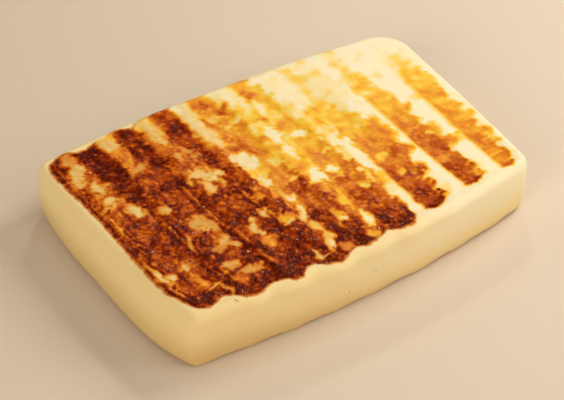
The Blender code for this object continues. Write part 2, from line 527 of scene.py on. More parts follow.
@dataclass(frozen=True)
class CrustPattern:
    """How brown the top is at each place, from 0 for raw cheese to 1 for char.

    The lines below were drawn on a level plane and reach the slab along a slant, so that the crust
    hangs over the front and left edges but not over the others.
    """

    plane: float = 16.4
    slant: tuple[float, float] = (0.66, 0.94)
    level_top: float = 15.4
    stations: tuple[float, ...] = (-34.0, -21.0, -9.0, 3.0, 14.0, 24.0, 34.0)
    left_edge: tuple[tuple[float, float], ...] = (
        (-32.5, -44.6), (-30.5, -47.0), (-27.0, -48.6), (-23.0, -50.0), (-17.0, -50.6), (-9.0, -50.9),
        (0.0, -50.8), (10.0, -50.6), (20.0, -51.0), (28.0, -51.6), (31.0, -51.2), (33.5, -49.6),
    )
    front_edge: tuple[tuple[float, float], ...] = (
        (-50.0, -29.0), (-47.0, -31.2), (-44.3, -32.1), (-42.0, -31.0), (-39.8, -30.2), (-37.6, -31.4),
        (-35.6, -33.6), (-33.0, -34.3), (-30.0, -33.5), (-27.5, -32.9), (-25.0, -33.6), (-22.8, -35.1),
        (-20.6, -34.8), (-18.6, -33.0), (-16.3, -32.9), (-14.3, -34.9), (-10.5, -36.0), (-7.6, -35.2),
        (-4.6, -34.0), (-2.6, -35.1), (-0.6, -34.9), (2.5, -34.4), (4.8, -33.2), (5.8, -34.4),
        (9.0, -35.2), (12.2, -34.9), (13.6, -33.2), (15.0, -32.6), (17.6, -32.3), (19.4, -33.6),
        (21.8, -33.3), (24.6, -31.6), (30.0, -31.2), (34.0, -31.5), (38.0, -30.4), (42.0, -30.6),
        (45.5, -31.6), (48.5, -29.0), (52.0, -26.0),
    )
    back_edge: tuple[tuple[float, float], ...] = (
        (-52.0, 31.5), (-48.0, 33.2), (-44.8, 34.6), (-43.0, 33.2), (-39.5, 32.6), (-36.5, 34.0),
        (-30.0, 35.2), (-26.0, 33.6), (-22.0, 35.6), (-14.0, 36.2), (-6.0, 35.4), (2.0, 35.6),
        (10.0, 34.4), (20.0, 34.0), (52.0, 33.0),
    )
    right_limit: float = 52.4
    ridges: tuple[Print, ...] = (
        Print((-54,) * 7, (-37,) * 7, (0.88, 0.78, 0.82, 0.75, 0.74, 0.70, 0.66)),
        Print((-41,) * 7, (-27,) * 7, (0.90, 0.84, 0.80, 0.80, 0.75, 0.56, 0.34)),
        Print((-29,) * 7, (-16,) * 7, (0.90, 0.84, 0.82, 0.76, 0.70, 0.60, 0.28)),
        Print((-18,) * 7, (-9.8, -9.9, -10.1, -10.6, -11.4, -12.6, -13.4),
              (0.90, 0.82, 0.79, 0.74, 0.68, 0.42, 0.2), 0.4, 0.8),
        Print((-11,) * 7, (-5,) * 7, (0.86, 0.62, 0.56, 0.34, 0.46, 0.30, 0.18)),
        Print((-2,) * 7, (6,) * 7, (0.86, 0.56, 0.46, 0.33, 0.32, 0.30, 0.16)),
        Print((12,) * 7, (18,) * 7, (0.06, 0.16, 0.18, 0.30, 0.20, 0.10, 0.06)),
        Print((20,) * 7, (29,) * 7, (0.05, 0.06, 0.08, 0.30, 0.16, 0.16, 0.10)),
    )
    prints: tuple[Print, ...] = (
        Print((-54,) * 7, (-46, -48.4, -48.2, -48.8, -48.9, -48.9, -46.9),
              (0.88, 0.80, 0.82, 0.80, 0.82, 0.86, 0.88), 0.2, 0.5),
        Print((-40, -39, -39.8, -40, -42.4, -43, -44.4), (-31, -34.8, -35.4, -35.2, -34.4, -35.2, -36.6),
              (0.94, 0.91, 0.88, 0.86, 0.88, 0.94, 0.94), 0.9, 0.9, 1),
        Print((-27, -27, -28, -29.5, -31.4, -31.4, -31.8), (-19, -22.8, -23.6, -24, -24.8, -24.6, -25.2),
              (0.94, 0.94, 0.91, 0.88, 0.86, 0.92, 0.83), 0.9, 0.9, 1),
        Print((-17, -17, -17.4, -17.4, -18.4, -20.6, -20.8), (-8, -13, -13.2, -12.8, -12.6, -12.6, -13.7),
              (0.92, 0.88, 0.83, 0.81, 0.82, 0.83, 0.74), 0.8, 0.9, 0.9),
        Print((-6.3, -6.6, -6.9, -6.1, -9.2, -9.5, -9.8), (0.5, 1.8, 0.7, -0.5, 0.4, 1.4, -2.5),
              (0.93, 0.75, 0.66, 0.46, 0.48, 0.54, 0.44), 0.6, 1.2, 1.1, 0.22),
        Print((5.2, 4.5, 4.2, 4.6, 4.8, 6.5, 3.4), (13.2, 13.9, 13.3, 12, 11.4, 12.9, 9.4),
              (0.90, 0.68, 0.57, 0.43, 0.38, 0.40, 0.42), 0.5, 1.3, 1.1, 0.22),
        Print((17.4, 17, 17.2, 16.6, 17.6, 18.4, 17), (23.6, 25.2, 27.6, 23.6, 22, 22, 21),
              (0.88, 0.68, 0.55, 0.40, 0.30, 0.20, 0.22), 0.3, 1.5, 0.8, 0.24),
        Print((31, 30.7, 30.6, 30.8, 30.6, 32.4, 31.2), (37, 36.6, 36.6, 38.4, 35.6, 35.4, 35.4),
              (0.76, 0.68, 0.60, 0.44, 0.32, 0.24, 0.15), 0.2, 1.3, 0.65, 0.24),
        Print((42.6, 42.9, 43.3, 43.5, 44.2, 44.6, 44), (47.6, 48.4, 49.6, 49.8, 50.8, 49, 48),
              (0.60, 0.55, 0.48, 0.43, 0.30, 0.12, 0.08), 0.2, 1.2, 0.65, 0.24),
    )
    amber: tuple[Patch, ...] = (
        Patch(-34.0, 22.5, 1.5, 6.5, 0.52),
        Patch(-10.0, 12.7, 2.6, 1.3, 0.66),
        Patch(-6.3, 31.0, 2.2, 2.6, 0.58),
        Patch(-8.6, 24.3, 0.8, 1.9, 0.60),
        Patch(-7.3, 17.3, 1.4, 2.0, 0.57),
        Patch(6.3, 28.8, 1.7, 2.0, 0.54),
        Patch(3.4, 18.0, 1.0, 1.6, 0.52),
        Patch(7.0, 13.6, 2.6, 1.5, 0.52),
        Patch(-3.7, 7.2, 1.0, 2.4, 0.60),
        Patch(21.5, 7.0, 2.0, 3.0, 0.34),
        Patch(18.5, 12.5, 2.4, 2.6, 0.30),
        Patch(26.5, -2.5, 2.4, 4.6, 0.50),
        Patch(19.2, 31.4, 1.8, 0.8, 0.26),
        Patch(24.2, 31.4, 1.4, 0.9, 0.18),
        Patch(20.5, 26.0, 1.1, 1.1, 0.20),
        Patch(34.0, 23.2, 1.1, 1.1, 0.27),
        Patch(21.5, 16.8, 2.2, 0.6, 0.28, 20),
        Patch(33.0, 14.6, 2.4, 2.0, 0.40),
        Patch(-20.4, -20.6, 1.8, 2.0, 0.54),
        Patch(-41.5, -23.2, 0.9, 2.5, 0.48),
        Patch(-33.0, -28.0, 1.8, 1.1, 0.66),
        Patch(-31.4, -12.6, 1.8, 1.8, 0.72),
        Patch(-13.6, -5.6, 1.0, 1.8, 0.44, -20),
        Patch(-12.6, -16.6, 1.6, 1.3, 0.46),
        Patch(47.6, 8.4, 2.4, 3.8, 0.33),
        Patch(37.6, -8.8, 1.8, 1.5, 0.54),
        Patch(39.2, -15.4, 2.3, 1.7, 0.54, 10),
        Patch(27.0, -11.6, 2.0, 1.6, 0.52, 20),
        Patch(25.8, -19.4, 1.6, 1.4, 0.60),
        Patch(48.9, -9.0, 1.6, 1.5, 0.40),
        Patch(48.6, -16.6, 1.5, 1.4, 0.44),
        Patch(13.0, -19.6, 1.7, 1.2, 0.60),
        Patch(14.9, -14.6, 1.3, 3.2, 0.52),
    )
    scorches: tuple[Patch, ...] = (
        Patch(-40.6, 30.6, 3.6, 2.0, 0.95, 20),
        Patch(-38.4, 24.0, 2.0, 6.5, 0.94),
        Patch(-49.4, 28.6, 1.3, 3.6, 0.90, -18),
        Patch(-48.2, 16.4, 1.6, 1.0, 0.86, 20),
        Patch(-29.0, 30.6, 2.6, 2.6, 0.84),
        Patch(-28.8, 22.6, 2.5, 2.0, 0.95),
        Patch(-16.5, 27.4, 1.2, 0.9, 0.95, 20),
        Patch(-16.6, 23.4, 1.7, 2.6, 0.84),
        Patch(-2.4, 27.2, 2.3, 0.8, 0.70, 18),
        Patch(-30.2, 8.0, 0.5, 1.0, 0.98),
        Patch(-37.0, 16.0, 3.0, 1.1, 0.88, -10),
        Patch(-30.6, 14.8, 2.2, 0.8, 0.86, -12),
        Patch(-44.2, -6.6, 0.7, 3.2, 0.93, -38),
        Patch(-48.1, -11.2, 0.5, 2.0, 0.93),
        Patch(-36.0, -6.6, 1.6, 1.6, 0.90),
        Patch(-35.8, -15.6, 1.2, 2.4, 0.90),
        Patch(-33.0, -19.2, 3.0, 0.6, 0.95, 14),
        Patch(-25.4, -20.0, 1.4, 2.8, 0.95),
        Patch(-44.0, -28.8, 2.2, 1.5, 0.93),
        Patch(-31.0, -31.4, 4.4, 1.2, 0.94, 8),
        Patch(-26.6, -28.6, 1.4, 1.6, 0.96, -30),
        Patch(-22.4, -33.6, 2.2, 0.9, 0.95),
        Patch(-18.2, -28.0, 1.6, 1.2, 0.97),
        Patch(-17.6, -22.6, 1.2, 1.2, 0.91),
        Patch(-17.6, -15.8, 0.9, 1.0, 0.91),
        Patch(-12.4, -34.6, 2.4, 0.6, 0.94, -14),
        Patch(-7.6, -31.6, 2.4, 2.8, 0.84, -20),
        Patch(-4.9, -25.5, 0.7, 5.6, 0.94, 14),
        Patch(-1.6, -32.8, 1.7, 3.0, 1.00, 8),
        Patch(3.0, -32.4, 1.8, 1.9, 0.94),
        Patch(6.7, -30.2, 0.9, 2.2, 0.98, 14),
        Patch(10.0, -33.2, 2.8, 1.2, 0.90),
        Patch(20.6, -32.2, 2.6, 0.9, 0.95, 8),
        Patch(18.8, -28.6, 1.6, 1.6, 0.84),
        Patch(33.6, -23.6, 2.2, 2.4, 0.82),
        Patch(35.6, -14.2, 1.6, 2.0, 0.72),
        Patch(34.2, -30.4, 2.4, 0.6, 0.80),
        Patch(45.4, -30.6, 2.0, 0.7, 0.72),
        Patch(23.6, -13.6, 1.2, 2.8, 0.64, -14),
        Patch(-42.4, -14.0, 0.3, 0.3, 1.0),
    )
    windows: tuple[Patch, ...] = (
        Patch(-46.6, 25.0, 1.6, 4.4, 0.28, -24),
        Patch(-46.0, 31.4, 0.7, 1.7, 0.42, -10),
        Patch(-44.4, 17.6, 1.3, 2.2, 0.28, -10),
        Patch(-44.2, 11.7, 1.7, 1.4, 0.23),
        Patch(-47.0, 9.9, 0.7, 0.4, 0.35),
        Patch(-41.2, 5.6, 1.1, 2.4, 0.23, 22),
        Patch(-38.7, 4.0, 0.6, 0.8, 0.39),
        Patch(-34.2, 30.9, 1.9, 2.5, 0.26),
        Patch(-32.2, 18.8, 2.4, 0.6, 0.40, 28),
        Patch(-35.4, 2.1, 1.0, 1.1, 0.33),
        Patch(-22.6, 29.6, 1.5, 4.4, 0.27),
        Patch(-21.4, 24.3, 1.2, 1.0, 0.33),
        Patch(-22.2, 16.9, 0.9, 1.5, 0.35),
        Patch(-19.1, 18.3, 0.7, 0.8, 0.40),
        Patch(-18.1, 15.6, 0.6, 0.7, 0.45),
        Patch(-21.4, 8.6, 2.4, 2.2, 0.28),
        Patch(-20.4, 6.2, 1.4, 1.5, 0.22),
        Patch(-17.8, 6.2, 0.9, 2.0, 0.19),
        Patch(-21.7, 2.9, 1.1, 1.6, 0.27),
        Patch(-11.3, 28.0, 1.3, 7.2, 0.19, -6),
        Patch(-10.6, 18.4, 0.9, 4.2, 0.22, -6),
        Patch(-8.9, 6.9, 2.7, 2.8, 0.13),
        Patch(-9.2, -2.6, 1.3, 2.6, 0.14),
        Patch(-8.8, -7.4, 0.6, 1.0, 0.34),
        Patch(-7.7, -10.8, 1.1, 1.3, 0.16),
        Patch(-8.6, -17.6, 0.9, 2.4, 0.22, -8),
        Patch(-8.0, -22.6, 0.7, 1.4, 0.28, 10),
        Patch(-7.6, -26.6, 0.6, 1.2, 0.30),
        Patch(-9.0, -29.0, 0.7, 1.7, 0.18, -20),
        Patch(-5.9, 25.7, 1.0, 1.2, 0.29),
        Patch(-2.2, 21.4, 3.4, 0.8, 0.24, 22),
        Patch(1.2, 31.6, 1.5, 3.6, 0.13, -4),
        Patch(3.0, 25.6, 1.0, 3.2, 0.20, -14),
        Patch(2.6, 12.0, 1.3, 4.0, 0.12),
        Patch(2.2, 3.2, 1.2, 2.6, 0.12),
        Patch(-3.2, 2.6, 1.4, 2.2, 0.26),
        Patch(8.3, 8.3, 1.8, 1.1, 0.13, -8),
        Patch(9.2, 17.7, 1.5, 0.9, 0.24),
        Patch(6.5, 22.8, 1.1, 2.4, 0.14, 6),
        Patch(14.6, 27.0, 2.4, 8.0, 0.13),
        Patch(15.6, 19.0, 1.6, 3.0, 0.14),
        Patch(15.1, 2.4, 0.8, 2.2, 0.14, -34),
        Patch(15.8, 0.0, 2.4, 1.4, 0.12),
        Patch(10.4, -0.6, 1.4, 0.7, 0.20),
        Patch(27.5, 8.5, 2.5, 4.5, 0.09),
        Patch(-3.0, -5.4, 1.3, 1.0, 0.24),
        Patch(2.7, -7.2, 1.9, 2.6, 0.09),
        Patch(7.7, -7.8, 1.1, 1.2, 0.09),
        Patch(8.7, -10.3, 0.7, 0.8, 0.26),
        Patch(2.9, -17.6, 0.7, 3.0, 0.32),
        Patch(-1.5, -23.4, 0.7, 0.9, 0.16),
        Patch(-1.6, -21.6, 1.0, 1.1, 0.42),
        Patch(3.6, -27.8, 0.9, 2.6, 0.13, -10),
        Patch(9.8, -17.2, 0.9, 1.0, 0.28),
        Patch(15.7, -8.6, 1.3, 5.6, 0.10),
        Patch(16.0, -16.0, 0.6, 1.8, 0.34),
        Patch(15.0, -23.2, 1.1, 2.4, 0.15, -6),
        Patch(15.2, -29.0, 1.1, 2.8, 0.09),
        Patch(21.0, -10.4, 1.4, 0.6, 0.30),
        Patch(21.4, -18.4, 0.4, 0.8, 0.34, -24),
        Patch(33.0, -19.2, 1.2, 0.9, 0.48),
        Patch(36.6, -28.2, 0.7, 1.5, 0.42, -22),
        Patch(-31.6, -6.4, 1.7, 1.9, 0.35),
        Patch(-28.9, -7.8, 0.7, 3.0, 0.35, 8),
        Patch(-28.8, -15.8, 1.2, 2.1, 0.34, 20),
        Patch(-31.8, -16.9, 1.4, 0.8, 0.40),
        Patch(-20.9, -15.3, 1.3, 2.1, 0.27, -22),
        Patch(-16.2, -12.3, 0.6, 1.3, 0.24),
        Patch(-12.9, -18.4, 1.3, 0.5, 0.24, 10),
        Patch(-41.6, -17.4, 1.2, 1.5, 0.28, -20),
        Patch(-48.4, -17.8, 0.6, 3.0, 0.21, 6),
        Patch(-46.6, -18.6, 0.8, 0.8, 0.25),
        Patch(-32.6, -23.0, 1.4, 0.9, 0.39, 28),
        Patch(-29.6, -26.2, 2.0, 0.7, 0.38, -6),
        Patch(-36.4, -11.4, 0.4, 1.3, 0.40, -10),
        Patch(-13.5, -31.0, 0.6, 1.4, 0.20, 14),
        Patch(-12.6, -32.8, 1.0, 0.4, 0.24),
        Patch(1.5, -32.6, 0.9, 1.5, 0.46, 16),
        Patch(-6.9, -32.4, 0.8, 1.2, 0.54),
        Patch(-39.2, -26.4, 1.2, 0.35, 0.30, 16),
        Patch(-37.6, -28.8, 0.4, 1.8, 0.35, 16),
    )
    folds: tuple[Fold, ...] = (
        Fold(((33.0, -50.4), (20.0, -50.1), (5.0, -49.5), (-3.0, -49.4), (-9.0, -48.2)), 0.26, 0.16, 0.2),
        Fold(((8.0, -48.7), (0.0, -48.9), (-5.0, -48.1), (-8.0, -46.6)), 0.28, 0.2, 0.34),
        Fold(((2.0, -47.6), (-3.0, -47.4), (-6.5, -46.2)), 0.26, 0.16, 0.26),
        Fold(((-10.0, -50.0), (-16.0, -49.7), (-22.0, -49.4), (-28.0, -47.4)), 0.26, 0.16, 0.34),
        Fold(((-12.0, -48.8), (-17.0, -47.5), (-23.0, -48.0), (-27.0, -46.0)), 0.28, 0.18, 0.28),
        Fold(((4.0, -38.6), (-6.0, -38.9), (-15.0, -38.2), (-22.0, -38.2), (-27.0, -36.8)), 0.4, 0.14, 0.22),
        Fold(((-1.0, -37.2), (-10.0, -37.0), (-20.0, -36.6), (-29.0, -35.2)), 0.3, 0.16, 0.2),
        Fold(((8.0, -28.6), (0.0, -28.4), (-8.0, -27.8), (-16.0, -26.2), (-24.0, -26.0), (-29.0, -24.4)),
             0.5, 0.14, 0.32),
        Fold(((2.0, -26.6), (-8.0, -26.4), (-14.0, -25.6)), 0.28, 0.14, 0.22),
        Fold(((2.0, -16.9), (-6.0, -16.7), (-12.0, -15.6), (-20.0, -15.0)), 0.3, 0.14, 0.26),
        Fold(((-16.0, -5.6), (-22.0, -4.6), (-27.0, -3.6), (-31.0, -2.8)), 0.3, 0.1, 0.3),
    )
    raw_tone: float = 0.08
    least_tone: float = 0.085
    patch_softness: float = 1.4
    window_halo: float = 2.6
    window_core: float = 1.1
    window_rim: float = 0.52
    window_fray: float = 0.34
    fleck_size: float = 1.15
    network_size: float = 4.6
    network_tone: float = 0.35
    char_knee: float = 0.93
    back_blur: float = 1.2
    edge_wobble: float = 0.35
    wrinkle_reach: float = 2.6
    wrinkle_pitch: float = 1.25
    wrinkle_shade: float = 0.10
    wrinkle_height: float = 0.12
    crust_height: float = 0.12
    blister_height: float = 0.22
    mottle_height: float = 0.14
    fine_height: float = 0.10
    speck_height: float = 0.06

    def along(self, knots: tuple[float, ...], y: np.ndarray) -> np.ndarray:
        """A value known at the stations, at each y between them."""
        return np.interp(y, self.stations, knots)

    @staticmethod
    def edge(knots: tuple[tuple[float, float], ...], t: np.ndarray) -> np.ndarray:
        """A line through listed points, each given as its t and its value, at each t."""
        places, values = zip(*knots)
        return np.interp(t, places, values)

    def strip(self, strip: Print, at: CrustPlaces) -> np.ndarray:
        """Browning that one print or ridge gives.

        Args:
            strip: The print.
            at: The places, whose noise frays its edges.

        Returns:
            Its tone inside, 0 outside, with frayed soft edges.
        """
        x, y = at.x, at.y
        left = self.along(strip.left, y) + strip.left_ragged * at.fray
        right = self.along(strip.right, y) + strip.right_ragged * at.fray
        tone = self.along(strip.tone, y)
        soft = strip.soft * (1 + self.back_blur * smooth_step(y, -12, 26))
        cover = smooth_step(x, left - soft, left + soft)
        cover *= 1 - smooth_step(x, right - soft, right + soft)
        halo = smooth_step(x, left - 1.9, left + 0.2) * (1 - smooth_step(x, right, right + 1.5))
        return np.maximum(tone * cover, np.minimum(strip.halo, 0.7 * tone) * halo)

    @staticmethod
    def cover(patch: Patch, at: CrustPlaces, softness: float, fray: np.ndarray) -> np.ndarray:
        """How strongly one patch covers each place.

        Args:
            patch: The patch.
            at: The places, whose warp bends the patch.
            softness: Width of its soft rim in millimetres, where the marks aren't blurred.
            fray: Noise that frays its rim, as a share of its size.

        Returns:
            1 inside the patch, 0 outside it.
        """
        turn = math.radians(patch.turn)
        x, y = at.x + at.warp_x - patch.x, at.y + at.warp_y - patch.y
        across = x * math.cos(turn) + y * math.sin(turn)
        along = y * math.cos(turn) - x * math.sin(turn)
        reach = np.hypot(across / patch.across, along / patch.along) + fray
        fade = np.minimum(1.3, softness * at.blur / min(patch.across, patch.along))
        return 1 - smooth_step(reach, 1 - fade * 0.5, 1 + fade)

    def fold_lines(self, at: CrustPlaces) -> tuple[np.ndarray, np.ndarray]:
        """The folds' effect on colour and height.

        Args:
            at: The places, whose noise bends and breaks the folds.

        Returns:
            The change in browning, and the height of the folds in millimetres.
        """
        shade, height = np.zeros(len(at.x)), np.zeros(len(at.x))
        for fold in self.folds:
            ys, xs = zip(*reversed(fold.path))
            off = at.x - np.interp(at.y, ys, xs) - 0.3 * at.rag
            broken = np.clip(0.6 + 0.8 * at.rag, 0.0, 1.0) * smooth_step(at.y, ys[0] - 0.5, ys[0] + 2.0)
            broken *= 1 - smooth_step(at.y, ys[-1] - 2.0, ys[-1] + 0.5)
            dark = np.exp(-((off / fold.width) ** 2)) * broken
            light = np.exp(-(((off - 2.2 * fold.width) / fold.width) ** 2)) * broken
            shade += fold.dark * dark - fold.light * light
            height += fold.height * (light - dark)
        return shade, height

    def drawn_at(self, points: np.ndarray) -> np.ndarray:
        """Takes points of the slab to the places of the drawn pattern that they show.

        Args:
            points: Points of the slab, in millimetres.

        Returns:
            The places, all at the slab's own heights.
        """
        x, y, z = points.T
        overhanging = smooth_step(-(self.slant[0] * x + self.slant[1] * y), -12, 16)
        drop = self.plane - self.level_top + np.maximum(self.level_top - z, 0.0) * overhanging
        return np.column_stack((x - self.slant[0] * drop, y - self.slant[1] * drop, z))

    def inside(self, at: CrustPlaces) -> np.ndarray:
        """How far each place lies inside the crust's outer edge.

        Args:
            at: The places, whose noise makes the edge waver.

        Returns:
            The distances in millimetres, negative outside.
        """
        from_left = at.x - self.edge(self.left_edge, at.y)
        from_front = at.y - self.edge(self.front_edge, at.x)
        from_back = self.edge(self.back_edge, at.x) - at.y
        from_right = self.right_limit - at.x
        depth = np.stack((from_left, from_front, from_back, from_right)).min(axis=0)
        return depth + self.edge_wobble * (0.6 * at.rag + 0.5 * at.fine)

    def drawn(self, at: CrustPlaces) -> np.ndarray:
        """Browning of the ridges, the prints, the amber patches and the scorches.

        Args:
            at: The places.

        Returns:
            The browning at each, before its texture.
        """
        brown = np.full(len(at.x), self.raw_tone)
        for strip in self.ridges + self.prints:
            brown = np.maximum(brown, self.strip(strip, at))
        for patch in self.amber + self.scorches:
            brown += (patch.level - brown) * self.cover(patch, at, self.patch_softness, 0.2 * at.fine)
        return brown

    def textured(self, brown: np.ndarray, at: CrustPlaces) -> np.ndarray:
        """Blisters and speckles the toasted crust, and mottles what is only golden.

        Args:
            brown: The drawn browning.
            at: The places.

        Returns:
            The browning with its texture.
        """
        toasted = smooth_step(brown, 0.32, 0.62)
        flecks = smooth_step(at.gain * lumps(at.warped, self.fleck_size, 24), 0.25, 0.75)
        shade = at.shades.crisp * at.crisp + at.shades.cloud * at.cloud + at.shades.flecks * flecks
        shade += np.clip(0.85 + 0.5 * at.cloud, 0.35, 1.3) * at.texture
        brown = brown + toasted * shade
        brown = np.minimum(brown, self.char_knee + 0.5 * np.maximum(brown - self.char_knee, 0.0))
        golden = (1 - toasted) * smooth_step(brown, 0.12, 0.32)
        brown += golden * (0.09 * at.rag + 0.06 * at.cloud + 0.08 * at.mottle + 0.05 * at.crisp * at.fine)
        middle = smooth_step(at.x, -6, 2) * (1 - smooth_step(at.x, 16, 25))
        middle *= smooth_step(at.y, -12, -4) * (1 - smooth_step(at.y, 14, 25))
        network = middle * (1 - blisters(at.warped, self.network_size, 25))
        brown = np.maximum(brown, network * (self.network_tone + 0.10 * at.mottle))
        blush = smooth_step(at.cloud, 0.1, 0.9) * smooth_step(at.x, 4, 14)
        return brown + 0.12 * blush * (1 - smooth_step(brown, 0.15, 0.35))

    def opened(self, brown: np.ndarray, at: CrustPlaces) -> tuple[np.ndarray, np.ndarray]:
        """Opens the pale windows in the crust.

        Args:
            brown: The browning without them.
            at: The places.

        Returns:
            The browning with them, and how milky they are.
        """
        milk = np.zeros(len(at.x))
        milky_side = 1 - smooth_step(at.x, -14, 2)
        tattered = self.window_fray * (at.fine + 0.5 * at.mottle)
        for patch in self.windows:
            around = self.cover(patch, at, self.window_halo, tattered)
            core = self.cover(patch, at, self.window_core, tattered)
            brown = brown + (np.minimum(brown, self.window_rim + 0.5 * at.texture) - brown) * 0.85 * around
            brown += (patch.level + 0.05 * at.mottle + 0.03 * at.fine - brown) * core
            milk = np.maximum(milk, 0.7 * core * milky_side)
        return brown, milk

    def browning(self, points: np.ndarray) -> tuple[np.ndarray, np.ndarray, np.ndarray, np.ndarray]:
        """Browning of the top crust, wrinkled along its rim.

        Args:
            points: Points of the slab, in millimetres.

        Returns:
            The browning, the relief that goes with it in millimetres, how wet the crust is, and how milky.
        """
        at = CrustPlaces(points)
        brown, milk = self.opened(self.textured(self.drawn(at), at), at)
        shade, relief = self.fold_lines(at)
        brown += shade * smooth_step(brown, 0.15, 0.5)
        depth = self.inside(at)
        wrinkled = smooth_step(brown, 0.55, 0.8) * np.exp(-np.maximum(depth, 0) / self.wrinkle_reach)
        wrinkled *= smooth_step(depth, -0.2, 0.5) * (0.5 + 0.5 * smooth_step(-at.y, 14, 26))
        phase = 2 * math.pi * (depth - 0.7) / self.wrinkle_pitch
        wrinkled *= np.cos(phase + 0.8 * at.rag + 0.5 * at.fine)
        brown += self.wrinkle_shade * wrinkled
        # Bare cheese just outside the crust, creamier towards the right end as painted light.
        bare = bare_tone_with_painted_light(at.x, np.ones(len(at.x)))
        brown = bare + (np.maximum(brown, self.least_tone) - bare) * smooth_step(depth, -0.7, 0.6)
        brown = np.clip(brown, 0.0, 1.0)
        milky_rim = (1 - smooth_step(depth, 0.2, 1.2)) * (1 - smooth_step(at.x, 8, 26))
        toasted = smooth_step(brown, 0.35, 0.8)
        bubbly = self.blister_height * (at.cell - 0.5) + self.mottle_height * at.mottle
        bubbly += self.fine_height * at.fine + self.speck_height * at.speck
        relief += toasted * (0.4 + 0.6 * at.crisp) * bubbly
        relief += self.crust_height * smooth_step(brown, 0.3, 0.6) * smooth_step(depth, 0.0, 0.8)
        relief -= self.wrinkle_height * wrinkled
        return brown, relief, toasted * (0.3 + 0.7 * at.crisp), np.maximum(milk, 0.8 * milky_rim)


@dataclass
class Graph:
    """A material's nodes, with short ways to add those that the finish uses."""

    material: bpy.types.Material

    def __post_init__(self) -> None:
        """Opens the tree and adds the place that every pattern reads."""
        self.material.use_nodes = True
        self.nodes, self.links = self.material.node_tree.nodes, self.material.node_tree.links
        self.place = self.nodes.new("ShaderNodeTexCoord").outputs["Object"]

    def fill(self, node: bpy.types.Node, values: dict[str | int, object]) -> None:
        """Links a node's inputs to sockets, or sets them to plain values.

        Args:
            node: The node.
            values: A socket or a plain value for each input's name or number.
        """
        for name, value in values.items():
            if isinstance(value, bpy.types.NodeSocket):
                self.links.new(value, node.inputs[name])
            else:
                node.inputs[name].default_value = value

    def calculate(self, operation: str, *values: object, clamp: bool = False) -> bpy.types.NodeSocket:
        """One arithmetic step.

        Args:
            operation: The Math node's operation.
            values: Its sockets or plain numbers.
            clamp: Whether to keep the result from 0 to 1.

        Returns:
            The result's socket.
        """
        step = self.nodes.new("ShaderNodeMath")
        step.operation = operation
        step.use_clamp = clamp
        self.fill(step, dict(enumerate(values)))
        return step.outputs[0]

    def times(self, first: object, second: object) -> bpy.types.NodeSocket:
        """Product of two sockets or plain numbers."""
        return self.calculate("MULTIPLY", first, second)

    def plus(self, first: object, second: object) -> bpy.types.NodeSocket:
        """Sum of two sockets or plain numbers."""
        return self.calculate("ADD", first, second)

    def above(self, value: object, threshold: float, slope: float) -> bpy.types.NodeSocket:
        """0 below the threshold, rising at the given slope to 1."""
        return self.calculate("MULTIPLY", self.calculate("SUBTRACT", value, threshold), slope, clamp=True)

    def stored(self, attribute: Attribute) -> bpy.types.NodeSocket:
        """The value that the mesh holds for one attribute.

        Args:
            attribute: The attribute.

        Returns:
            Its value's socket.
        """
        node = self.nodes.new("ShaderNodeAttribute")
        node.attribute_name = attribute.value
        return node.outputs["Fac"]

    def grain(self, scale: float, detail: float) -> bpy.types.NodeSocket:
        """Noise centred on 0.

        Args:
            scale: Its scale per metre.
            detail: How many finer layers it has.

        Returns:
            The noise's socket.
        """
        texture = self.nodes.new("ShaderNodeTexNoise")
        self.fill(texture, {"Vector": self.place, "Scale": scale, "Detail": detail})
        return self.calculate("SUBTRACT", texture.outputs["Fac"], 0.5)

    def speck(self, place: list[float], radius: float, tone: float) -> bpy.types.NodeSocket:
        """A soft round speck.

        Args:
            place: Its middle, in millimetres.
            radius: Where it has faded to 0, in millimetres.
            tone: The browning in its middle.

        Returns:
            The speck's browning.
        """
        gap = self.nodes.new("ShaderNodeVectorMath")
        gap.operation = "DISTANCE"
        self.fill(gap, {0: self.place, 1: [step * MM for step in place]})
        speck = self.nodes.new("ShaderNodeMapRange")
        speck.interpolation_type = "SMOOTHSTEP"
        self.fill(speck, {"Value": gap.outputs["Value"], "From Min": 0.0, "From Max": radius * MM})
        self.fill(speck, {"To Min": tone, "To Max": 0.0})
        return speck.outputs["Result"]

    def ramp(self, tone: bpy.types.NodeSocket, tones: Tones) -> bpy.types.NodeSocket:
        """Turns browning into colour.

        Args:
            tone: The browning.
            tones: The colours at their brownings.

        Returns:
            The colour's socket.
        """
        ramp = self.nodes.new("ShaderNodeValToRGB")
        stops = ramp.color_ramp.elements
        while len(stops) < len(tones):
            stops.new(1.0)
        for stop, (position, colour) in zip(stops, tones):
            stop.position = position
            stop.color = linear(colour)
        self.fill(ramp, {"Fac": tone})
        return ramp.outputs["Color"]

    def blend(self, share: object, first: object, second: object) -> bpy.types.NodeSocket:
        """Mixes two colours.

        Args:
            share: 0 for the first colour, 1 for the second.
            first: The first colour's socket.
            second: The second colour's socket.

        Returns:
            The mix's socket.
        """
        blend = self.nodes.new("ShaderNodeMix")
        blend.data_type = "RGBA"
        self.fill(blend, {"Factor": share})
        for socket, colour in zip((s for s in blend.inputs if s.type == "RGBA"), (first, second)):
            self.links.new(colour, socket)
        return next(socket for socket in blend.outputs if socket.type == "RGBA")

    def bumped(self, height: object, depth: float) -> bpy.types.NodeSocket:
        """Surface direction over small bumps.

        Args:
            height: The bumps, from low to high.
            depth: Their depth in metres.

        Returns:
            The direction's socket.
        """
        bump = self.nodes.new("ShaderNodeBump")
        self.fill(bump, {"Distance": depth, "Height": height})
        return bump.outputs["Normal"]


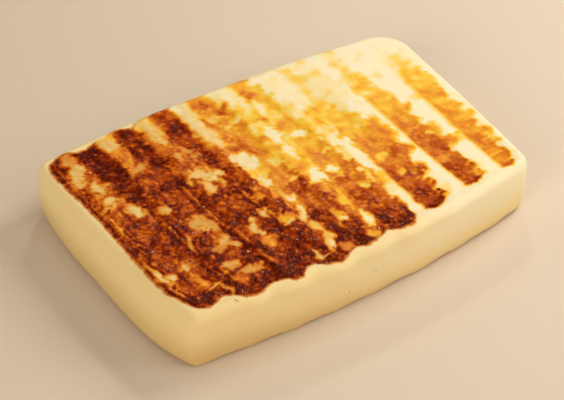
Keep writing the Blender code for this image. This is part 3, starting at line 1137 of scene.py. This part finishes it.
@dataclass(frozen=True)
class CheeseFinish:
    """Pale flesh that browns to a wet, blistered crust.

    Grains are scales per metre, and depths are in metres. A speck is its place and its radius, in
    millimetres.
    """

    # The stops below 0.08 colour bare cheese from the walls' foot to the top; the deeper foot tones are
    # partly browning from the plate and partly painted shade.
    golden_tones: Tones = (
        (0.00, (217, 179, 116)),
        (0.03, (243, 214, 152)),
        (0.08, (248, 231, 192)),
        (0.16, (248, 222, 162)),
        (0.24, (249, 208, 106)),
        (0.33, (249, 193, 54)),
        (0.43, (240, 168, 42)),
        (0.53, (229, 140, 34)),
        (0.63, (213, 112, 24)),
        (0.72, (193, 86, 10)),
        (0.80, (168, 63, 3)),
        (0.88, (139, 43, 0)),
        (0.95, (108, 24, 0)),
        (1.00, (70, 12, 0)),
    )
    # Its stops below 0.08 repeat the bare cheese's tones; the deeper foot tones are partly painted shade.
    milky_tones: Tones = (
        (0.00, (217, 179, 116)),
        (0.03, (243, 214, 152)),
        (0.08, (245, 219, 165)),
        (0.18, (236, 200, 140)),
        (0.30, (219, 166, 101)),
        (0.44, (199, 127, 60)),
        (0.60, (186, 98, 36)),
        (0.80, (162, 63, 10)),
        (1.00, (80, 22, 4)),
    )
    flesh_roughness: float = 0.36
    crust_roughness: float = 0.24
    fine_grain: float = 1500.0
    finest_grain: float = 3600.0
    finest_share: float = 0.3
    grain_shade: float = 0.28
    roughness_grain: float = 0.3
    pore_grain: float = 700.0
    pore_share: float = 0.15
    scatter: tuple[float, float, float] = (1.0, 0.55, 0.25)
    scatter_weight: float = 0.6
    scatter_depth: float = 2.2 * MM
    shine: float = 0.07
    shine_tint: tuple[float, float, float, float] = (1.0, 0.70, 0.45, 1.0)
    bump_depth: float = 0.14 * MM
    bead_grain: float = 1400.0
    bead_sparseness: float = 0.13
    bead_slope: float = 40.0
    bead_glaze: float = 0.62
    bead_glaze_slope: float = 4.5
    bead_bump_grain: float = 1100.0
    bead_depth: float = 0.30 * MM
    bead_roughness: float = 0.08
    specks: tuple[tuple[float, float, float, float], ...] = (
        (-9.4, -37.3, 6.05, 0.40),
        (-9.8, -37.2, 4.7, 0.28),
        (-1.9, -37.5, 9.0, 0.35),
        (-38.8, -33.0, 15.8, 0.40),
        (-38.5, -33.5, 15.7, 0.32),
    )
    speck_tone: float = 0.86

    def material(self) -> bpy.types.Material:
        """Builds the procedural material.

        Returns:
            The material, which reads the mesh's attributes and Object coordinates.
        """
        graph = Graph(bpy.data.materials.new("grilled_cheese"))
        times, plus = graph.times, graph.plus
        brown, glaze, milk = (graph.stored(attribute) for attribute in Attribute)
        fine = graph.grain(self.fine_grain, 3.0)
        finest = graph.grain(self.finest_grain, 2.0)
        tone = plus(brown, times(times(plus(fine, finest), glaze), self.grain_shade))
        for *place, radius in self.specks:
            tone = graph.calculate("MAXIMUM", tone, graph.speck(place, radius, self.speck_tone))
        drop = self.crust_roughness - self.flesh_roughness
        wet = graph.calculate("MULTIPLY_ADD", glaze, drop, self.flesh_roughness)
        grains = times(plus(fine, times(finest, self.finest_share)), glaze)
        pores = times(graph.grain(self.pore_grain, 2.0), self.pore_share)
        beads = graph.above(graph.grain(self.bead_grain, 1.0), self.bead_sparseness, self.bead_slope)
        scorched = graph.above(glaze, self.bead_glaze, self.bead_glaze_slope)
        golden, milky = graph.ramp(tone, self.golden_tones), graph.ramp(tone, self.milky_tones)
        graph.fill(graph.nodes["Principled BSDF"], {
            "Base Color": graph.blend(milk, golden, milky),
            "Roughness": plus(wet, times(fine, self.roughness_grain)),
            "Subsurface Weight": times(graph.calculate("SUBTRACT", 1.0, glaze), self.scatter_weight),
            "Subsurface Radius": self.scatter,
            "Subsurface Scale": self.scatter_depth,
            "Specular IOR Level": self.shine,
            "Specular Tint": self.shine_tint,
            "Normal": graph.bumped(plus(grains, pores), self.bump_depth),
            "Coat Weight": times(beads, scorched),
            "Coat Roughness": self.bead_roughness,
            "Coat Normal": graph.bumped(graph.grain(self.bead_bump_grain, 1.0), self.bead_depth),
        })
        return graph.material


@dataclass
class GrilledSlab:
    """The whole slab as one fine closed mesh, with its crust's colours stored at its points."""

    form: SlabForm = field(default_factory=SlabForm)
    pattern: CrustPattern = field(default_factory=CrustPattern)
    finish: CheeseFinish = field(default_factory=CheeseFinish)
    grid_step: float = 0.36
    wall_rows: int = 26
    wall_crowding: float = 1.6
    crust_zone: tuple[float, float] = (0.6, 0.85)
    under_zone: tuple[float, float] = (0.04, 0.12)
    under_rag_size: float = 2.6
    under_margin: tuple[float, float] = (1.8, 3.2)
    under_tone: float = 0.62
    under_level: float = 0.01
    under_inset: float = 0.8
    under_share: float = 0.62

    def block(self) -> bmesh.types.BMesh:
        """A block cut into a fine, even grid.

        Returns:
            The block, in millimetres.
        """
        form = self.form
        block = bmesh.new()
        bmesh.ops.create_cube(block, size=2.0)
        half_size = (form.half_length, form.half_width, form.thickness / 2)
        bmesh.ops.scale(block, vec=half_size, verts=block.verts)
        bmesh.ops.translate(block, vec=(0.0, 0.0, form.thickness / 2), verts=block.verts)
        cuts = (round(2 * form.half_length / self.grid_step), round(2 * form.half_width / self.grid_step))
        sizes = (2 * form.half_length, 2 * form.half_width, form.thickness)
        for axis, (size, rows) in enumerate(zip(sizes, (*cuts, self.wall_rows))):
            along = [e for e in block.edges if abs((e.verts[0].co - e.verts[1].co)[axis]) > size / 2]
            bmesh.ops.subdivide_edges(block, edges=along, cuts=rows - 1, use_grid_fill=True)
        return block

    def crowded(self, points: np.ndarray) -> np.ndarray:
        """Moves the wall rows up, so that most of them lie near the top edge.

        Args:
            points: The evenly gridded points.

        Returns:
            The points with crowded rows.
        """
        x, y, z = points.T
        height = 1 - np.maximum(1 - z / self.form.thickness, 0.0) ** self.wall_crowding
        return np.column_stack((x, y, height * self.form.thickness))

    @staticmethod
    def fitted(points: np.ndarray) -> np.ndarray:
        """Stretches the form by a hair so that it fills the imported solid's box exactly.

        Args:
            points: The shaped points.

        Returns:
            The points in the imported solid's frame.
        """
        low, high = (np.array(corner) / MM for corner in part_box(NODE))
        near, far = points.min(axis=0), points.max(axis=0)
        return low + (points - near) * (high - low) / (far - near)

    def under_browning(self, points: np.ndarray, inset: np.ndarray) -> np.ndarray:
        """Browning of the underside, which the other grill plate pressed.

        Args:
            points: Points of the slab.
            inset: How far each lies in from the nearest side.

        Returns:
            The browning, 0 away from the prints.
        """
        flat = points * (1, 1, 0)
        rag = 1.6 * lumps(flat, self.under_rag_size, 21)
        prints = self.form.rib_prints(points, 0.7 * rag)
        return prints * (self.under_tone + 0.12 * rag) * smooth_step(inset + 0.5 * rag, *self.under_margin)

    def painted(self, points: np.ndarray, inset: np.ndarray, middle: np.ndarray) -> tuple[np.ndarray, ...]:
        """Works out the crust at every point of the slab.

        Args:
            points: The slab's points.
            inset: How far each lies in from the nearest side.
            middle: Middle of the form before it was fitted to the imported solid.

        Returns:
            The browning, the crust's relief in millimetres, the glaze and the milk at each point.
        """
        height = points[:, 2] / self.form.thickness
        upper = np.flatnonzero(height > self.crust_zone[0])
        lower = np.flatnonzero(height < self.under_zone[1])
        brown, relief, glaze, milk = (np.zeros(len(points)) for _ in range(4))
        drawn = self.pattern.drawn_at(points[upper] + middle)
        brown[upper], relief[upper], glaze[upper], milk[upper] = self.pattern.browning(drawn)
        on_top = smooth_step(height, *self.crust_zone)
        # Bare walls: deeper at the foot, partly browning from the plate and partly painted shade, and
        # creamier towards the right end as painted light.
        wall = bare_tone_with_painted_light(points[:, 0], height)
        brown = wall + (brown - wall) * on_top
        under = self.under_browning(points[lower] + middle, inset[lower])
        brown[lower] += under * (1 - smooth_step(height[lower], *self.under_zone))
        return brown, relief * on_top, glaze * on_top, milk * on_top

    def build(self) -> bpy.types.Object:
        """Shapes the mesh, stores its browning, glaze and milk, and thins the unseen underside.

        Returns:
            The slab's object, at the origin.
        """
        block = self.block()
        mesh = bpy.data.meshes.new("grilled_slab")
        block.to_mesh(mesh)
        block.free()
        start = np.empty(len(mesh.vertices) * 3)
        mesh.vertices.foreach_get("co", start)
        start = self.crowded(start.reshape(-1, 3))
        shaped, inset = self.form.shaped(start)
        points = self.fitted(shaped)
        middle = (shaped.min(axis=0) + shaped.max(axis=0)) / 2 * (1, 1, 0)
        brown, relief, glaze, milk = self.painted(points, inset, middle)
        points[:, 2] = np.minimum(points[:, 2] + relief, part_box(NODE)[1].z / MM)
        mesh.vertices.foreach_set("co", (points * MM).ravel())
        for name, values in ((Attribute.BROWNING, brown), (Attribute.GLAZE, glaze), (Attribute.MILK, milk)):
            layer = mesh.attributes.new(name.value, "FLOAT", "POINT")
            layer.data.foreach_set("value", values.astype(np.float32))
        mesh.materials.append(self.finish.material())
        slab = bpy.data.objects.new("grilled_slab", mesh)
        bpy.context.scene.collection.objects.link(slab)
        on_underside = (start[:, 2] < self.under_level) & (inset > self.under_inset)
        self.thin_underside(slab, np.flatnonzero(on_underside))
        slab.data.shade_smooth()
        return slab

    def thin_underside(self, slab: bpy.types.Object, under: np.ndarray) -> None:
        """Drops triangles on the underside only.

        Args:
            slab: The slab's object.
            under: Numbers of the points that may go.
        """
        group = slab.vertex_groups.new(name="underside")
        group.add(under.tolist(), 1.0, "REPLACE")
        thinning = slab.modifiers.new("thin the underside", "DECIMATE")
        thinning.ratio = self.under_share
        thinning.vertex_group = group.name
        thinning.use_collapse_triangulate = True
        evaluated = slab.evaluated_get(bpy.context.evaluated_depsgraph_get())
        thinned = bpy.data.meshes.new_from_object(evaluated)
        slab.modifiers.clear()
        slab.vertex_groups.clear()
        slab.data = thinned


@dataclass(frozen=True)
class Camera:
    """The photograph's viewpoint, as an orbit round a target on the floor."""

    azimuth: float = -35.232
    elevation: float = 41.078
    roll: float = 1.0
    distance: float = 435.84
    target: tuple[float, float] = (0.06, 4.41)
    lens: float = 108.5
    sensor: float = 36.0

    def build(self) -> bpy.types.Object:
        """Places the camera and makes it the scene's.

        Returns:
            The camera object.
        """
        azimuth, elevation, roll = (math.radians(a) for a in (self.azimuth, self.elevation, self.roll))
        level = math.cos(elevation)
        back = Vector((math.sin(azimuth) * level, -math.cos(azimuth) * level, math.sin(elevation)))
        right = Vector((math.cos(azimuth), math.sin(azimuth), 0.0))
        up = back.cross(right)
        turned_right = math.cos(roll) * right + math.sin(roll) * up
        turned_up = math.cos(roll) * up - math.sin(roll) * right
        data = bpy.data.cameras.new("camera")
        data.sensor_width = self.sensor
        data.lens = self.lens
        data.clip_start = 0.01
        camera = bpy.data.objects.new("camera", data)
        placement = Matrix((turned_right, turned_up, back)).transposed().to_4x4()
        placement.translation = Vector((*self.target, 0.0)) * MM + back * self.distance * MM
        camera.matrix_world = placement
        bpy.context.scene.collection.objects.link(camera)
        bpy.context.scene.camera = camera
        return camera


@dataclass(frozen=True)
class SoftLight:
    """One square softbox that faces the slab. Its place and width are in metres."""

    name: str
    place: tuple[float, float, float]
    width: float
    power: float
    colour: tuple[float, float, float] = (1.0, 1.0, 1.0)

    def build(self) -> None:
        """Adds the light."""
        data = bpy.data.lights.new(self.name, "AREA")
        data.size = self.width
        data.energy = self.power
        data.color = self.colour
        light = bpy.data.objects.new(self.name, data)
        light.location = self.place
        light.rotation_euler = Vector(self.place).to_track_quat("Z", "Y").to_euler()
        bpy.context.scene.collection.objects.link(light)


@dataclass(frozen=True)
class Studio:
    """Pale floor, soft lights and an even pale surround. The floor's size is in metres."""

    floor_size: float = 6.0
    floor_colour: tuple[float, float, float, float] = (0.72, 0.58, 0.43, 1.0)
    floor_roughness: float = 0.6
    surround: tuple[float, float, float, float] = (1.0, 0.96, 0.90, 1.0)
    surround_strength: float = 0.10
    lights: tuple[SoftLight, ...] = (
        SoftLight("key", (0.38, 0.02, 0.33), 0.20, 1.20, (1.0, 0.99, 0.97)),
        SoftLight("above", (0.12, -0.30, 0.60), 0.40, 0.76, (1.0, 0.98, 0.95)),
        SoftLight("fill", (0.38, -0.34, 0.21), 0.28, 1.08, (1.0, 0.98, 0.94)),
        SoftLight("left", (-0.80, -0.35, 0.44), 0.50, 4.6, (1.0, 0.97, 0.88)),
        SoftLight("back", (-0.20, 0.75, 0.55), 0.50, 1.0, (1.0, 0.95, 0.87)),
        SoftLight("sparkle", (0.30, 0.38, 0.40), 0.06, 0.50, (1.0, 0.90, 0.76)),
    )

    def build(self) -> None:
        """Adds the floor, the lights and the surround."""
        shape = bmesh.new()
        bmesh.ops.create_grid(shape, x_segments=1, y_segments=1, size=self.floor_size / 2)
        mesh = bpy.data.meshes.new("floor")
        shape.to_mesh(mesh)
        shape.free()
        material = bpy.data.materials.new("pale_floor")
        material.use_nodes = True
        surface = material.node_tree.nodes["Principled BSDF"]
        surface.inputs["Base Color"].default_value = self.floor_colour
        surface.inputs["Roughness"].default_value = self.floor_roughness
        mesh.materials.append(material)
        floor = bpy.data.objects.new("floor", mesh)
        bpy.context.scene.collection.objects.link(floor)
        for light in self.lights:
            light.build()
        world = bpy.data.worlds.new("surround")
        world.use_nodes = True
        background = world.node_tree.nodes["Background"]
        background.inputs["Color"].default_value = self.surround
        background.inputs["Strength"].default_value = self.surround_strength
        bpy.context.scene.world = world
        bpy.context.scene.view_settings.view_transform = "Standard"


def main() -> None:
    """Builds the camera, the studio and the slab, and reports each."""
    logging.basicConfig(level=logging.INFO, format="%(name)s: %(message)s")
    Camera().build()
    LOG.info("camera placed")
    Studio().build()
    LOG.info("studio lit")
    slab = GrilledSlab().build()
    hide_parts(NODE)
    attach(slab, BODY)
    LOG.info("slab built with %d faces", len(slab.data.polygons))


if __name__ == "__main__":
    main()
